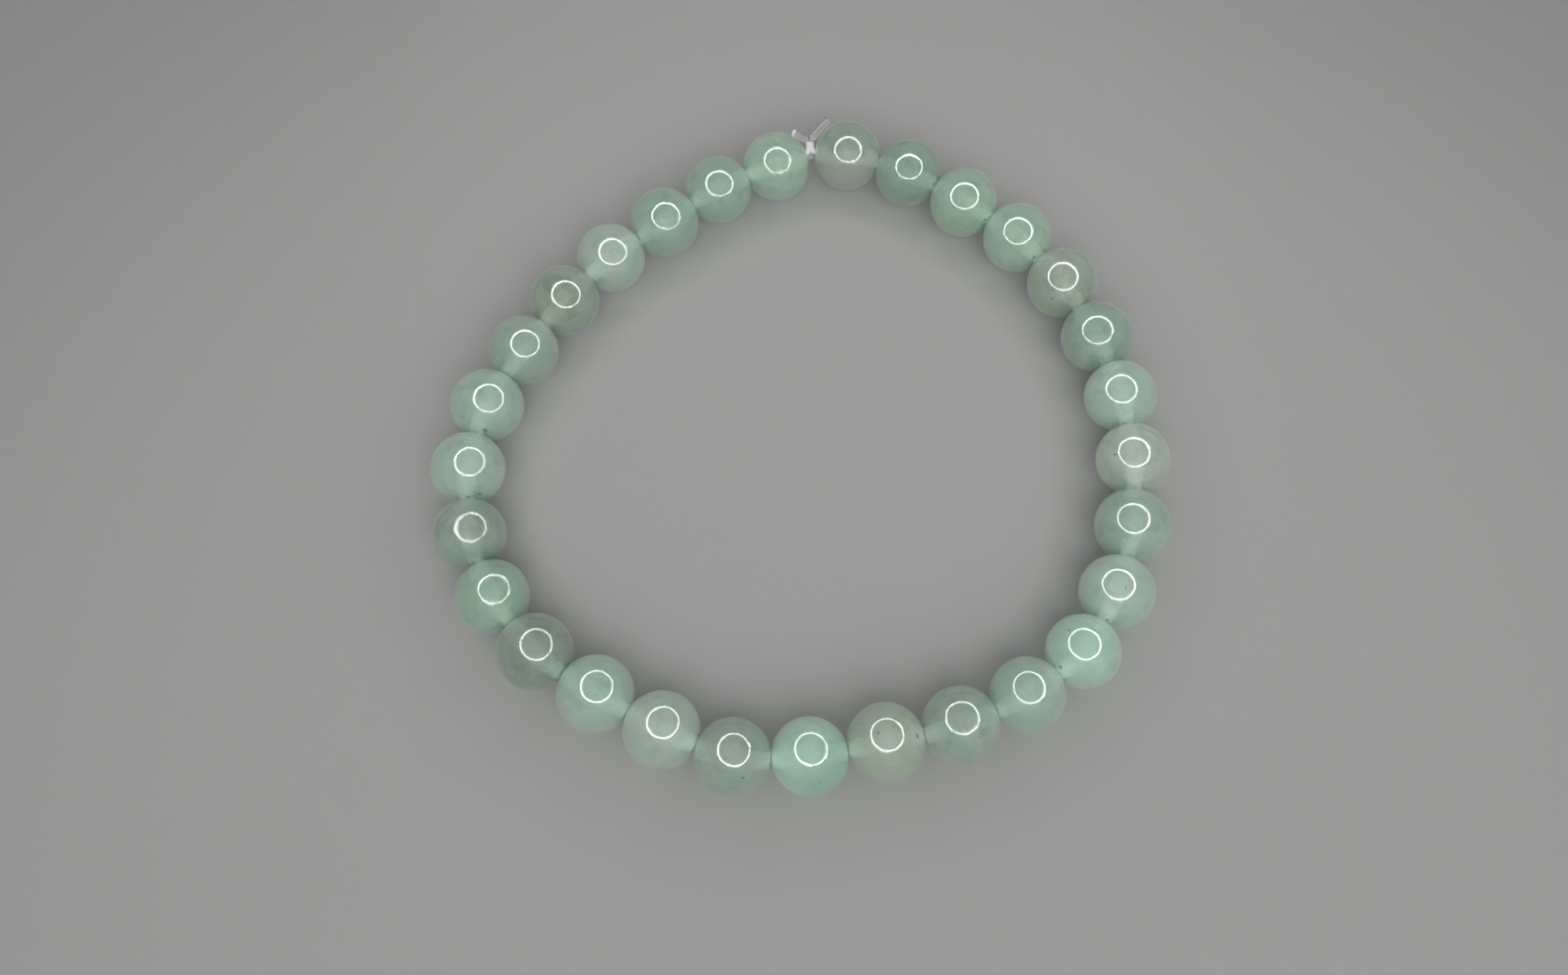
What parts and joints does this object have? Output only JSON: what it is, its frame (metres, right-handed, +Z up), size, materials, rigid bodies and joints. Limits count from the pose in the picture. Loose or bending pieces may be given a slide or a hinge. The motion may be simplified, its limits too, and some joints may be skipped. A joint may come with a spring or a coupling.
{
  "type": "gemstone bead bracelet",
  "caption": "Stretch bracelet of round, drilled, pale green translucent stone beads on a clear elastic cord, lying flat as a closed loop with its knot and cut tails outside.",
  "frame": {"origin": "middle of the bracelet's box, on the surface that it lies on", "axes": "+Z up from the surface, square to the bracelet's plane; +Y towards the knotted side; +X to the right as seen from the side away from the knot"},
  "size_m": [0.0608, 0.0613, 0.0061],
  "materials": {
    "green_stone": "polished translucent pale mint green stone",
    "dark_green_stone": "polished translucent darker grey-green stone",
    "pale_stone": "polished translucent pale grey-mint stone",
    "warm_stone": "polished translucent warm grey-green stone",
    "elastic": "clear glossy elastic cord"
  },
  "bodies": {
    "root": {"bead_01": "green_stone", "bead_02": "dark_green_stone", "bead_03": "green_stone", "bead_04": "pale_stone", "bead_05": "warm_stone", "bead_06": "pale_stone", "bead_07": "green_stone", "bead_08": "green_stone", "bead_09": "dark_green_stone", "bead_10": "green_stone", "bead_11": "pale_stone", "bead_12": "green_stone", "bead_13": "pale_stone", "bead_14": "dark_green_stone", "bead_15": "green_stone", "bead_16": "warm_stone", "bead_17": "dark_green_stone", "bead_18": "green_stone", "bead_19": "green_stone", "bead_20": "green_stone", "bead_21": "dark_green_stone", "bead_22": "warm_stone", "bead_23": "green_stone", "bead_24": "dark_green_stone", "bead_25": "warm_stone", "bead_26": "green_stone", "bead_27": "green_stone", "bead_28": "dark_green_stone", "bead_29": "pale_stone", "elastic_cord": "elastic", "knot": "elastic"}
  },
  "joints": []
}
